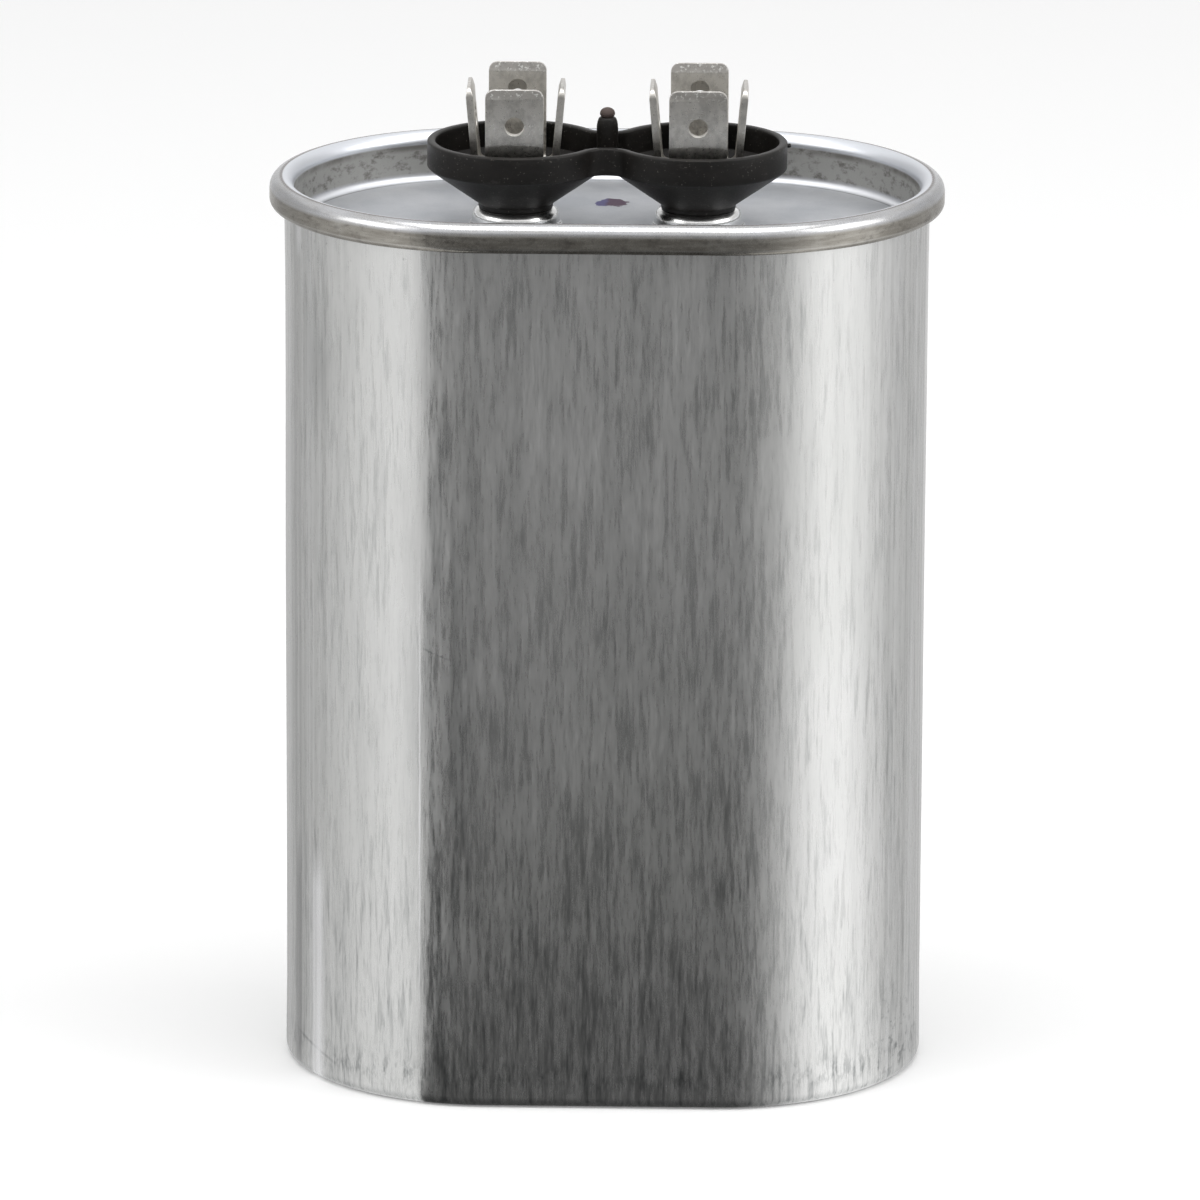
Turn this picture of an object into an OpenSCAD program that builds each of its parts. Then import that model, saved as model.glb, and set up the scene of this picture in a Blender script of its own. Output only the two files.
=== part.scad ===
// Oval motor run capacitor. A drawn aluminium can is closed by a recessed lid that is rolled
// onto it in a double seam. One moulded insulator with two joined cups stands on the lid and
// holds two terminals, each made of two crossed U-shaped strips with four blades.
// Millimetres, +Z up. The origin is the middle of the can's underside, the long side of the
// oval lies along X, and the lead that reaches the bottom runs down the +Y side.

/* [Can] */
// Length of the can body over its round ends
body_length = 70.7; // [66:0.1:82]
// Depth of the can body over its flat sides
body_depth = 45.2; // [43:0.1:50]
// Height of the can over the rolled seam
can_height = 100; // [80:1:130]
// Thickness of the can wall
can_wall = 0.5; // [0.4:0.05:0.7]
// Thickness of the can floor
floor_thickness = 0.8; // [0.6:0.1:1.2]
// Outer radius where the can wall turns into the floor
base_radius = 1.2; // [0.9:0.1:2]

/* [Lid and seam] */
// Thickness of the lid sheet
lid_thickness = 0.5; // [0.35:0.05:0.65]
// Clearance between the folded layers of the seam
fold_gap = 0.04; // [0.02:0.01:0.08]
// Height of the rolled seam
seam_height = 3.2; // [3:0.1:4]
// Depth of the lid panel below the top of the seam
recess_depth = 5.4; // [4.6:0.1:8]
// Radius where the lid panel turns up into its wall
panel_radius = 0.7; // [0.4:0.1:1.5]
// Outer diameter of the raised boss under each terminal
boss_diameter = 9.6; // [9.2:0.1:10.6]
// Height of the raised boss above the lid panel
boss_height = 1.9; // [1.7:0.1:2.6]
// Radius of the bends at the foot and the crown of a boss
boss_bend = 0.5; // [0.3:0.05:0.5]

/* [Terminal insulator] */
// Distance between the two terminals
terminal_spacing = 20; // [19.6:0.1:24]
// Outer diameter of each cup
cup_diameter = 19.4; // [18:0.1:20]
// Height of each cup from the foot to the rim
cup_height = 7.5; // [7:0.1:9]
// Wall thickness of the skirt and the bridge
cup_wall = 0.9; // [0.7:0.05:1.1]
// Height of the straight skirt under the rim
skirt_height = 3; // [2.4:0.1:3.4]
// Diameter of the foot that stands on the boss
foot_diameter = 8.2; // [7.6:0.1:9]
// Height of the straight foot
foot_height = 0.5; // [0.3:0.1:0.8]
// Wall thickness of the cone under the skirt
cone_wall = 0.7; // [0.5:0.05:0.9]
// Clearance between the bends of the lower strip and the inside of the cone
seat_gap = 0.1; // [0.05:0.05:0.5]
// Diameter of the platform inside each cup
platform_diameter = 9; // [8:0.1:10]
// Depth of the bridge between the cups at its middle
bridge_depth = 8.8; // [7:0.1:11]
// Thickness of the tube that lines the hole in the lid
spigot_wall = 0.7; // [0.5:0.05:0.8]
// Reach of that tube below the foot
spigot_length = 3.2; // [2.9:0.1:3.4]
// Diameter of the pin on the bridge
pin_diameter = 2.36; // [1.8:0.02:3]
// Height of the pin's straight part above the rim
pin_straight = 1.2; // [0.6:0.1:2]
// Height of the pin's rounded shoulder
pin_shoulder = 1.4; // [1:0.1:2]
// Diameter of the moulding nub on the pin
nub_diameter = 1.66; // [1.2:0.02:1.8]
// Height of the moulding nub
nub_height = 1.05; // [0.8:0.05:1.6]

/* [Blade strips] */
// Width of a blade
blade_width = 6.35; // [5.6:0.05:6.6]
// Thickness of a blade
blade_thickness = 0.81; // [0.7:0.01:0.9]
// Reach of the front and back blades above the cup rim
blade_reach = 7.2; // [6:0.1:10]
// How much lower the side blades end
cross_drop = 0.75; // [0:0.05:1.2]
// Distance between the bends of the front and back blades
strip_span = 10.4; // [9:0.1:10.8]
// Distance between the bends of the side blades
cross_span = 6.7; // [6.6:0.1:8]
// Outward lean of every blade, in degrees
blade_lean = 5; // [0:0.5:7]
// Inside radius of the bends
strip_bend = 0.6; // [0.4:0.05:0.8]
// Radius of a blade's top corners
corner_radius = 1; // [0.6:0.05:2]
// Height of the coined bevel on a blade's top edge
bevel_height = 1.05; // [0.5:0.05:1.2]
// Depth of the coined bevel on each face
bevel_depth = 0.22; // [0.1:0.02:0.3]
// Diameter of the locking hole in a blade
hole_diameter = 2.1; // [1.6:0.05:2.4]
// Distance of the locking hole below the top of the blade
hole_drop = 4.1; // [3.4:0.1:5]

/* [Rivets, seals and tabs] */
// Diameter of a rivet's shank
rivet_diameter = 3.2; // [2.8:0.1:3.4]
// Diameter of a rivet's heads
rivet_head = 5.4; // [4.6:0.1:5.8]
// Height of a rivet's upper head
head_height = 1; // [0.8:0.1:1.4]
// Height of a rivet's closing head
closing_height = 0.8; // [0.6:0.1:1.2]
// Clearance round the rivets and other loose fits
fit_gap = 0.05; // [0.03:0.01:0.1]
// Thickness of the insulating plate under the lid
plate_thickness = 1.8; // [1.6:0.1:2.4]
// Length of the insulating plate
plate_length = 36; // [34:0.5:42]
// Depth of the insulating plate
plate_depth = 14; // [12:0.5:18]
// Thickness of a connecting tab
tab_thickness = 0.6; // [0.4:0.05:0.8]
// Width of a connecting tab
tab_width = 6; // [5.4:0.1:6.6]
// Reach of a connecting tab from its rivet
tab_reach = 11; // [9:0.5:13]
// Drop of a connecting tab's turned-down end
tab_drop = 3.6; // [3:0.1:4.4]

/* [Winding and leads] */
// Free height between the film roll and the insulating plate
head_room = 9; // [8:0.5:24]
// Clearance between the wrapped roll and the can
roll_gap = 1.8; // [1.6:0.1:3]
// Thickness of the film wrapped round the roll
wrap_thickness = 0.3; // [0.2:0.05:0.5]
// Thickness of the sprayed metal on each end of the roll
contact_thickness = 0.6; // [0.4:0.1:1]
// Length of the flattened winding core
core_length = 30; // [24:0.5:34]
// Outer depth of the flattened winding core
core_depth = 5; // [4:0.1:7]
// Wall of the winding core
core_wall = 0.8; // [0.5:0.1:1.2]
// Thickness of the pad under the roll
pad_thickness = 1; // [0.6:0.1:1.6]
// Clearance round the pad
pad_gap = 0.8; // [0.7:0.1:1.4]
// Thickness of a lead ribbon
ribbon_thickness = 0.3; // [0.2:0.05:0.4]
// Width of a lead ribbon
ribbon_width = 3; // [2:0.1:4]
// Reach of a lead ribbon over the end of the roll
ribbon_overlap = 10; // [6:0.5:11]
// Height of the crossing lead above the roll
lead_rise = 3; // [2:0.1:3.6]
// Wall of the sleeve on the long lead
sleeve_wall = 0.3; // [0.2:0.05:0.4]

/* [Hidden] */
$fn = 96;
// Flat steps in the bend of a strip.
bend_steps = 10;
// Steps in the dome of the moulding nub.
nub_steps = 8;
// Width of the nub's neck as a share of its own.
neck_share = 0.8;
// Share of the nub's height below its widest place.
rise_share = 0.35;
// Flat sides of the round that the squeezed compound's section is half of.
compound_sides = 12;
// Share of the waist's height that the block between the cups fills.
waist_share = 0.93;

// Oval of the can: straight flats with half-round ends.
body_radius = body_depth / 2;
half_flat = body_length / 2 - body_radius;
bore_radius = body_radius - can_wall;

// Radii of the seam's five layers, from the lid wall inside to the lid wall outside.
lid_wall_radius = bore_radius - fold_gap - lid_thickness;
cover_hook_radius = body_radius + fold_gap;
body_hook_radius = cover_hook_radius + lid_thickness + fold_gap;
outer_wall_radius = body_hook_radius + can_wall + fold_gap;

// Bends of the seam: the can turns out and down, and the lid turns over it, down and back up.
can_bend = (body_hook_radius - body_radius) / 2;
can_bend_radius = body_radius + can_bend;
lid_bend = can_bend + can_wall + fold_gap;
lid_bend_height = can_height - lid_thickness - lid_bend;
hook_bend = (outer_wall_radius - cover_hook_radius - lid_thickness) / 2;
hook_bend_radius = outer_wall_radius - hook_bend;
hook_bend_height = can_height - seam_height + hook_bend + lid_thickness;

// Levels of the lid and the insulator.
panel_top = can_height - recess_depth;
panel_bottom = panel_top - lid_thickness;
boss_top = panel_top + boss_height;
boss_radius = boss_diameter / 2;
boss_foot_radius = boss_radius + boss_bend;
boss_flat_radius = boss_radius - lid_thickness - boss_bend;
cup_radius = cup_diameter / 2;
foot_radius = foot_diameter / 2;
cup_rim = boss_top + cup_height;
skirt_bottom = cup_rim - skirt_height;
cone_bottom = boss_top + foot_height;
cone_height = skirt_bottom - cone_bottom;
cone_slope = cone_height / (cup_radius - foot_radius);
cone_stretch = sqrt(1 + cone_slope * cone_slope);
cone_floor = cone_bottom + cone_wall * cone_stretch;
bend_radius = strip_bend + blade_thickness;
bend_corner = sqrt(strip_span * strip_span + blade_width * blade_width) / 2;
seat_level = cone_floor + (bend_corner - foot_radius) * cone_slope
    + (bend_radius + seat_gap) * cone_stretch - bend_radius;
// Rounded up to a hundredth, so that the strips on it meet face to face.
platform_top = ceil(seat_level * 100) / 100;
bridge_floor = skirt_bottom + cup_wall;
rivet_hole = rivet_diameter / 2 + fit_gap;
spigot_radius = rivet_hole + spigot_wall;
spigot_bottom = boss_top - spigot_length;

// Levels of the strips, rivets and tabs.
cross_base = platform_top + blade_thickness;
rivet_seat = cross_base + blade_thickness;
blade_top = cup_rim + blade_reach;
cross_top = blade_top - cross_drop;
plate_bottom = panel_bottom - plate_thickness;
tab_bottom = plate_bottom - tab_thickness;

// Levels of the winding: it stands on the can floor and ends below the insulating plate.
pad_top = floor_thickness + pad_thickness;
roll_bottom = pad_top + ribbon_thickness + contact_thickness;
contact_top = plate_bottom - head_room;
roll_top = contact_top - contact_thickness;
roll_height = roll_top - roll_bottom;
wrap_radius = bore_radius - roll_gap;
roll_radius = wrap_radius - wrap_thickness;
lead_y = bore_radius - roll_gap / 2;
sleeve_top = roll_top;
sleeve_bottom = roll_bottom;

// A 2D section swept round the can's oval. X is the distance from the axis of a round end,
// Y is the height.
module oval_sweep() {
    for (turn = [0, 180]) rotate([0, 0, turn]) {
        translate([half_flat, 0, 0]) rotate([0, 0, -90]) rotate_extrude(angle = 180) children();
        translate([-half_flat, 0, 0]) rotate([90, 0, 90]) linear_extrude(2 * half_flat) children();
    }
}

// An oval plate with half-round ends, its length over everything along X.
module oval_outline(length, depth) {
    for (side = [-1, 1]) translate([side * (length - depth) / 2, 0]) circle(d = depth);
    square([length - depth, depth], center = true);
}

// Section of a vessel from its axis out to a radius, with a rounded lower corner.
module vessel_section(radius, low, high, corner) {
    translate([0, low]) square([radius - corner, high - low]);
    translate([0, low + corner]) square([radius, high - low - corner]);
    translate([radius - corner, low + corner]) circle(corner);
}

// Quarter of a bent sheet round a centre. The quadrant's signs pick the quarter.
module quarter_bend(centre, inside, thickness, quadrant) {
    outside = inside + thickness;
    translate(centre) intersection() {
        difference() {
            circle(outside);
            circle(inside);
        }
        translate([min(quadrant[0], 0) * outside, min(quadrant[1], 0) * outside])
            square(outside);
    }
}

// Half of a bent sheet round a centre, open downward (side 1) or upward (side -1).
module half_bend(centre, inside, thickness, side) {
    quarter_bend(centre, inside, thickness, [1, side]);
    quarter_bend(centre, inside, thickness, [-1, side]);
}

module can_section() {
    difference() {
        vessel_section(body_radius, 0, lid_bend_height, base_radius);
        vessel_section(bore_radius, floor_thickness, can_height, base_radius - can_wall);
    }
    half_bend([can_bend_radius, lid_bend_height], can_bend, can_wall, 1);
    translate([body_hook_radius, hook_bend_height])
        square([can_wall, lid_bend_height - hook_bend_height]);
}

module can() {
    color("silver") oval_sweep() can_section();
}

module lid_section() {
    turn = lid_wall_radius - panel_radius;
    translate([0, panel_bottom]) square([turn, lid_thickness]);
    quarter_bend([turn, panel_top + panel_radius], panel_radius, lid_thickness, [1, -1]);
    translate([lid_wall_radius, panel_top + panel_radius])
        square([lid_thickness, lid_bend_height - panel_top - panel_radius]);
    half_bend([can_bend_radius, lid_bend_height], lid_bend, lid_thickness, 1);
    translate([outer_wall_radius, hook_bend_height])
        square([lid_thickness, lid_bend_height - hook_bend_height]);
    half_bend([hook_bend_radius, hook_bend_height], hook_bend, lid_thickness, -1);
    translate([cover_hook_radius, hook_bend_height])
        square([lid_thickness, lid_bend_height - hook_bend_height]);
}

// Section of one pressed boss, from the hole that the insulator's tube lines to its foot.
module boss_section() {
    hole = spigot_radius + fit_gap;
    crown = boss_top - lid_thickness - boss_bend;
    foot = panel_top + boss_bend;
    translate([hole, boss_top - lid_thickness]) square([boss_flat_radius - hole, lid_thickness]);
    quarter_bend([boss_flat_radius, crown], boss_bend, lid_thickness, [1, 1]);
    translate([boss_radius - lid_thickness, foot]) square([lid_thickness, crown - foot]);
    quarter_bend([boss_foot_radius, foot], boss_bend, lid_thickness, [-1, -1]);
}

module at_terminals() {
    for (side = [-1, 1]) translate([side * terminal_spacing / 2, 0, 0]) children();
}

module lid() {
    color("lightgray") {
        difference() {
            oval_sweep() lid_section();
            at_terminals() translate([0, 0, panel_bottom - 1])
                cylinder(r = boss_foot_radius, h = lid_thickness + 2);
        }
        at_terminals() rotate_extrude() boss_section();
    }
}

// Lining compound squeezed into the two closed ends of the folds.
module seam_compound() {
    color("dimgray") oval_sweep() {
        intersection() {
            translate([can_bend_radius, lid_bend_height])
                circle(can_bend - fold_gap / 2, $fn = compound_sides);
            translate([body_radius, lid_bend_height]) square([2 * can_bend, can_bend]);
        }
        intersection() {
            translate([hook_bend_radius, hook_bend_height])
                circle(hook_bend - fold_gap / 2, $fn = compound_sides);
            translate([hook_bend_radius - hook_bend, hook_bend_height - hook_bend])
                square([2 * hook_bend, hook_bend]);
        }
    }
}

// Two joined circles with a waist: the waist's hollows touch both circles smoothly.
module waisted_outline(radius, half_waist) {
    reach = terminal_spacing / 2;
    hollow = (reach * reach + half_waist * half_waist - radius * radius)
        / (2 * (radius - half_waist));
    touch_x = reach * hollow / (radius + hollow);
    touch_y = (half_waist + hollow) * radius / (radius + hollow);
    for (side = [-1, 1]) translate([side * reach, 0]) circle(radius);
    // The block ends a little short of the touching points.
    difference() {
        square([2 * touch_x, 2 * waist_share * touch_y], center = true);
        for (side = [-1, 1]) translate([0, side * (half_waist + hollow)]) circle(hollow);
    }
}

// Pin on the bridge: straight shaft, rounded shoulder and domed moulding nub.
module bridge_pin() {
    radius = pin_diameter / 2;
    nub = nub_diameter / 2;
    neck = neck_share * nub;
    nub_rise = rise_share * nub_height;
    shoulder = cup_rim + pin_straight;
    nub_bottom = shoulder + pin_shoulder;
    fall = radius - neck;
    curve = (fall * fall + pin_shoulder * pin_shoulder) / (2 * fall);
    rotate_extrude() {
        translate([0, skirt_bottom]) square([radius, shoulder - skirt_bottom]);
        intersection() {
            translate([radius - curve, shoulder]) circle(curve);
            translate([0, shoulder]) square([radius, pin_shoulder]);
        }
        translate([0, nub_bottom]) polygon(concat([[0, 0], [neck, 0]], [
            for (i = [0 : nub_steps])
                let (angle = 90 * i / nub_steps)
                [nub * cos(angle), nub_rise + (nub_height - nub_rise) * sin(angle)]
        ]));
    }
}

module cup_outside() {
    translate([0, 0, skirt_bottom]) linear_extrude(skirt_height)
        waisted_outline(cup_radius, bridge_depth / 2);
    at_terminals() {
        translate([0, 0, cone_bottom])
            cylinder(h = cone_height, r1 = foot_radius, r2 = cup_radius);
        translate([0, 0, boss_top]) cylinder(h = foot_height, r = foot_radius);
        translate([0, 0, spigot_bottom]) cylinder(h = spigot_length, r = spigot_radius);
    }
}

module cup_inside() {
    inner_radius = cup_radius - cup_wall;
    inner_high = cone_floor + (inner_radius - foot_radius) * cone_slope;
    translate([0, 0, bridge_floor]) linear_extrude(cup_rim)
        waisted_outline(inner_radius, bridge_depth / 2 - cup_wall);
    at_terminals() difference() {
        union() {
            translate([0, 0, cone_floor])
                cylinder(h = inner_high - cone_floor, r1 = foot_radius, r2 = inner_radius);
            translate([0, 0, inner_high])
                cylinder(h = bridge_floor - inner_high + cup_wall, r = inner_radius);
        }
        cylinder(h = platform_top, d = platform_diameter);
    }
}

module terminal_insulator() {
    color("black") {
        difference() {
            cup_outside();
            cup_inside();
            at_terminals() translate([0, 0, spigot_bottom - 1])
                cylinder(h = platform_top - spigot_bottom + 2, r = rivet_hole);
        }
        bridge_pin();
    }
}

// Points of an arc in a plane, angles in degrees.
function arc(centre, radius, from, to) = [
    for (i = [0 : bend_steps])
        let (angle = from + (to - from) * i / bend_steps)
        centre + radius * [cos(angle), sin(angle)]
];

// A point beside a leaning blade: how far out from the bend's centre and how far up the blade.
function on_blade(centre, out, up) = centre + [
    out * cos(blade_lean) + up * sin(blade_lean),
    up * cos(blade_lean) - out * sin(blade_lean)
];

// One half of a strip's bent section, from the middle of its underside round the blade to the
// middle of its top. The bevels run on past the blade's end, which is cut later.
function half_section(centre, length) =
    let (outside = strip_bend + blade_thickness)
    let (spare = strip_bend, bevel = bevel_depth * (1 + spare / bevel_height))
    concat(
        [[0, 0]],
        arc(centre, outside, -90, -blade_lean),
        [
            on_blade(centre, outside, length - bevel_height),
            on_blade(centre, outside - bevel, length + spare),
            on_blade(centre, strip_bend + bevel, length + spare),
            on_blade(centre, strip_bend, length - bevel_height)
        ],
        arc(centre, strip_bend, -blade_lean, -90),
        [[0, blade_thickness]]
    );

// What is cut from a blade that stands on Z = 0: its end with the round corners, and its hole.
module blade_cut(length) {
    side = blade_width / 2 - corner_radius;
    rotate([90, 0, 0]) linear_extrude(4 * blade_width, center = true) {
        difference() {
            translate([-blade_width, length - corner_radius])
                square([2 * blade_width, 3 * corner_radius]);
            translate([-side, 0]) square([2 * side, length]);
            translate([-blade_width / 2, 0]) square([blade_width, length - corner_radius]);
            for (x = [-side, side]) translate([x, length - corner_radius]) circle(corner_radius);
        }
        translate([0, length - hole_drop]) circle(d = hole_diameter);
    }
}

// A strip bent up into two blades along Y. Its base stands on Z = base and its blades end at top.
module strip(span, base, top) {
    centre = [span / 2, blade_thickness + strip_bend];
    length = (top - base - centre[1]) / cos(blade_lean);
    translate([0, 0, base]) difference() {
        for (turn = [0, 180]) rotate([90, 0, 90 + turn])
            linear_extrude(blade_width, center = true) polygon(half_section(centre, length));
        for (turn = [0, 180]) rotate([0, 0, turn]) translate([0, centre[0], centre[1]])
            rotate([-blade_lean, 0, 0]) blade_cut(length);
        translate([0, 0, -1]) cylinder(h = blade_thickness + 2, r = rivet_hole);
    }
}

// Side -1 is the left terminal and side 1 is the right one.
module blade_strip(side) {
    color("silver") translate([side * terminal_spacing / 2, 0, 0])
        strip(strip_span, platform_top, blade_top);
}

module cross_strip(side) {
    color("silver") translate([side * terminal_spacing / 2, 0, 0])
        rotate([0, 0, 90]) strip(cross_span, cross_base, cross_top);
}

module terminal_rivets() {
    edge = rivet_head / 8;
    color("silver") at_terminals() {
        translate([0, 0, tab_bottom]) cylinder(h = rivet_seat - tab_bottom, d = rivet_diameter);
        translate([0, 0, rivet_seat]) cylinder(h = head_height / 2, d = rivet_head);
        translate([0, 0, rivet_seat + head_height / 2])
            cylinder(h = head_height / 2, d1 = rivet_head, d2 = rivet_head - 2 * edge);
        translate([0, 0, tab_bottom - closing_height])
            cylinder(h = closing_height, d1 = rivet_head - 2 * edge, d2 = rivet_head);
    }
}

// Rubber ring that fills the hollow of a boss round the insulator's tube.
module seal(side) {
    color("darkslategray") translate([side * terminal_spacing / 2, 0, panel_bottom]) difference() {
        cylinder(h = boss_height, r = boss_flat_radius - fit_gap);
        translate([0, 0, -1]) cylinder(h = boss_height + 2, r = spigot_radius + fit_gap);
    }
}

// Insulating plate under the lid: the tubes end in its pockets.
module inner_plate() {
    pocket = spigot_bottom - fit_gap;
    color("saddlebrown") difference() {
        translate([0, 0, plate_bottom]) linear_extrude(plate_thickness)
            oval_outline(plate_length, plate_depth);
        at_terminals() {
            translate([0, 0, pocket]) cylinder(h = can_height, r = spigot_radius + fit_gap);
            translate([0, 0, plate_bottom - 1]) cylinder(h = can_height, r = rivet_hole);
        }
    }
}

// Tab that the rivet holds against the plate, turned down at its end. Side as for the strips.
module tab(side) {
    turn = side > 0 ? 0 : 180;
    color("peru") translate([side * terminal_spacing / 2, 0, 0]) rotate([0, 0, turn]) {
        translate([0, 0, tab_bottom]) linear_extrude(tab_thickness) difference() {
            union() {
                circle(d = tab_width);
                translate([-tab_width / 2, 0]) square([tab_width, tab_reach]);
            }
            circle(rivet_hole);
        }
        translate([-tab_width / 2, tab_reach - tab_thickness, tab_bottom - tab_drop])
            cube([tab_width, tab_thickness, tab_drop]);
    }
}

// A flat ribbon that follows square corners in the YZ plane. Each point is the low corner of
// the ribbon's section there.
module ribbon(points) {
    rotate([90, 0, 90]) linear_extrude(ribbon_width, center = true)
        for (i = [1 : len(points) - 1]) {
            a = points[i - 1];
            b = points[i];
            translate([min(a[0], b[0]), min(a[1], b[1])])
                square([abs(a[0] - b[0]) + ribbon_thickness, abs(a[1] - b[1]) + ribbon_thickness]);
        }
}

// Lead from the left tab to the top of the roll.
module top_lead() {
    color("goldenrod") translate([-terminal_spacing / 2, 0, 0]) rotate([0, 0, 180])
        ribbon([
            [tab_reach, tab_bottom - ribbon_thickness],
            [tab_reach, contact_top],
            [tab_reach - ribbon_overlap, contact_top]
        ]);
}

// Lead from the right tab over the roll, down its flat side and under it.
module bottom_lead() {
    down = lead_y - ribbon_thickness / 2;
    over = contact_top + lead_rise;
    color("goldenrod") translate([terminal_spacing / 2, 0, 0])
        ribbon([
            [tab_reach, tab_bottom - ribbon_thickness],
            [tab_reach, over],
            [down, over],
            [down, pad_top],
            [down - ribbon_overlap, pad_top]
        ]);
}

module lead_sleeve() {
    inner = [ribbon_width + 2 * fit_gap, ribbon_thickness + 2 * fit_gap];
    color("ivory") translate([terminal_spacing / 2, lead_y, sleeve_bottom])
        linear_extrude(sleeve_top - sleeve_bottom) difference() {
            square([inner[0] + 2 * sleeve_wall, inner[1] + 2 * sleeve_wall], center = true);
            square(inner, center = true);
        }
}

module winding_core() {
    color("white") translate([0, 0, roll_bottom]) linear_extrude(roll_height) difference() {
        oval_outline(core_length, core_depth);
        oval_outline(core_length - 2 * core_wall, core_depth - 2 * core_wall);
    }
}

module roll_outline() {
    oval_outline(2 * (half_flat + roll_radius), 2 * roll_radius);
}

// Film wound round the core, as one solid.
module winding() {
    color("gainsboro") translate([0, 0, roll_bottom]) linear_extrude(roll_height) difference() {
        roll_outline();
        oval_outline(core_length, core_depth);
    }
}

module winding_wrap() {
    color("lightyellow") translate([0, 0, roll_bottom]) linear_extrude(roll_height) difference() {
        oval_outline(2 * (half_flat + wrap_radius), 2 * wrap_radius);
        roll_outline();
    }
}

// Metal sprayed on an end of the roll, open where the core is.
module contact(base) {
    color("gray") translate([0, 0, base]) linear_extrude(contact_thickness) difference() {
        roll_outline();
        oval_outline(core_length, core_depth);
    }
}

module top_contact() {
    contact(roll_top);
}

module bottom_contact() {
    contact(roll_bottom - contact_thickness);
}

module bottom_pad() {
    radius = bore_radius - pad_gap;
    color("burlywood") translate([0, 0, floor_thickness]) linear_extrude(pad_thickness)
        oval_outline(2 * (half_flat + radius), 2 * radius);
}

can();
lid();
seam_compound();
terminal_insulator();
blade_strip(-1);  // left_blade_strip
cross_strip(-1);  // left_cross_strip
blade_strip(1);  // right_blade_strip
cross_strip(1);  // right_cross_strip
terminal_rivets();
seal(-1);  // left_seal
seal(1);  // right_seal
inner_plate();
tab(-1);  // left_tab
tab(1);  // right_tab
top_lead();
bottom_lead();
lead_sleeve();
winding_core();
winding();
winding_wrap();
top_contact();
bottom_contact();
bottom_pad();
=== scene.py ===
"""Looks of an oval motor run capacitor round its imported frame.

The drawn can and the lid with its rolled seam are made again as fine meshes, the moulded insulator
and the stamped strips get rounded edges, and every surface gets a procedural finish.
Lengths are metres, in the frame of the part: the long side lies along X and the front faces -Y.
"""
import math

import bmesh
import bpy
from mathutils import Matrix, Vector, noise


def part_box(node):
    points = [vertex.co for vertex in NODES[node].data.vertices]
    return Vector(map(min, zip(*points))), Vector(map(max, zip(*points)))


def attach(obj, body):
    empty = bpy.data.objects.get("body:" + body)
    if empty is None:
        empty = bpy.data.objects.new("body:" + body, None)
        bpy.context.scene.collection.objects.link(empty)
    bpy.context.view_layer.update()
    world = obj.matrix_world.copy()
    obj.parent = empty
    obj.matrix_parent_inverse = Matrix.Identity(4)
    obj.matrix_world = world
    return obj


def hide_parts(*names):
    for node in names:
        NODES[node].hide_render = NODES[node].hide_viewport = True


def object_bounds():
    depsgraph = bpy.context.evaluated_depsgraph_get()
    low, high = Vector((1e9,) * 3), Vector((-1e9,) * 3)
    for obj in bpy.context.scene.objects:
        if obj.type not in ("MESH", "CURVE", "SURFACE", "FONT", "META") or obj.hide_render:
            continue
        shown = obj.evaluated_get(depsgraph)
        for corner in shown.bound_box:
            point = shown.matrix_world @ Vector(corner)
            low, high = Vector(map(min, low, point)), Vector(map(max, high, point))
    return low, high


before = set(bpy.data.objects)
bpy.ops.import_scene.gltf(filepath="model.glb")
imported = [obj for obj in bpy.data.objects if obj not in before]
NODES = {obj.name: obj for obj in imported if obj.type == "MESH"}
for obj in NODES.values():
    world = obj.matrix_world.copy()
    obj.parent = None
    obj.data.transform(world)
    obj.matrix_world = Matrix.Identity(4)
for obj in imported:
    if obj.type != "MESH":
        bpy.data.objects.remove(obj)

MM = 0.001
CAD_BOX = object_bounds()

# Sheet sizes that the frame's boxes don't give.
SHEET = 0.5 * MM
FOLD_GAP = 0.04 * MM
PANEL_BEND = 0.7 * MM
BOSS_BEND = 0.5 * MM
BASE_BEND = 1.2 * MM
SEAM_HEIGHT = 3.2 * MM


def reach(node, axis, low, high):
    """The largest coordinate of a CAD node's points between two heights."""
    points = [v.co for v in NODES[node].data.vertices]
    return max(p[axis] for p in points if low <= p.z <= high)


def middle(node):
    low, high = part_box(node)
    return (low + high) / 2


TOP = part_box("lid")[1].z
BODY_RADIUS = reach("can", 1, 0, TOP / 2)
HALF_FLAT = reach("can", 0, 0, TOP / 2) - BODY_RADIUS
PANEL_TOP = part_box("lid")[0].z + SHEET
TERMINAL_X = middle("right_seal").x
BOSS_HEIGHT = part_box("right_seal")[1].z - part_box("right_seal")[0].z
BOSS_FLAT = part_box("right_seal")[1].y + 0.05 * MM
BOSS_RADIUS = BOSS_FLAT + SHEET + BOSS_BEND
BOSS_TOP = PANEL_TOP + BOSS_HEIGHT
HOLE_RADIUS = 2.4 * MM


# ---------------------------------------------------------------- meshes

def add_piece(name, vertices, faces, smooth=30):
    mesh = bpy.data.meshes.new(name)
    mesh.from_pydata(vertices, [], faces)
    work = bmesh.new()
    work.from_mesh(mesh)
    bmesh.ops.remove_doubles(work, verts=work.verts, dist=1e-7)
    bmesh.ops.recalc_face_normals(work, faces=work.faces)
    work.to_mesh(mesh)
    work.free()
    mesh.shade_smooth()
    mesh.set_sharp_from_angle(angle=math.radians(smooth))
    piece = bpy.data.objects.new(name, mesh)
    bpy.context.scene.collection.objects.link(piece)
    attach(piece, "root")
    return piece


def arc(centre, radius, start, end, steps):
    """Points of an arc in a section, angles in degrees."""
    points = []
    for i in range(steps + 1):
        angle = math.radians(start + (end - start) * i / steps)
        points.append((centre[0] + radius * math.cos(angle), centre[1] + radius * math.sin(angle)))
    return points


def line(start, end, steps):
    """Points after the first one along a straight stretch of a section."""
    share = [(i + 1) / steps for i in range(steps)]
    return [tuple(a + (b - a) * t for a, b in zip(start, end)) for t in share]


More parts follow.
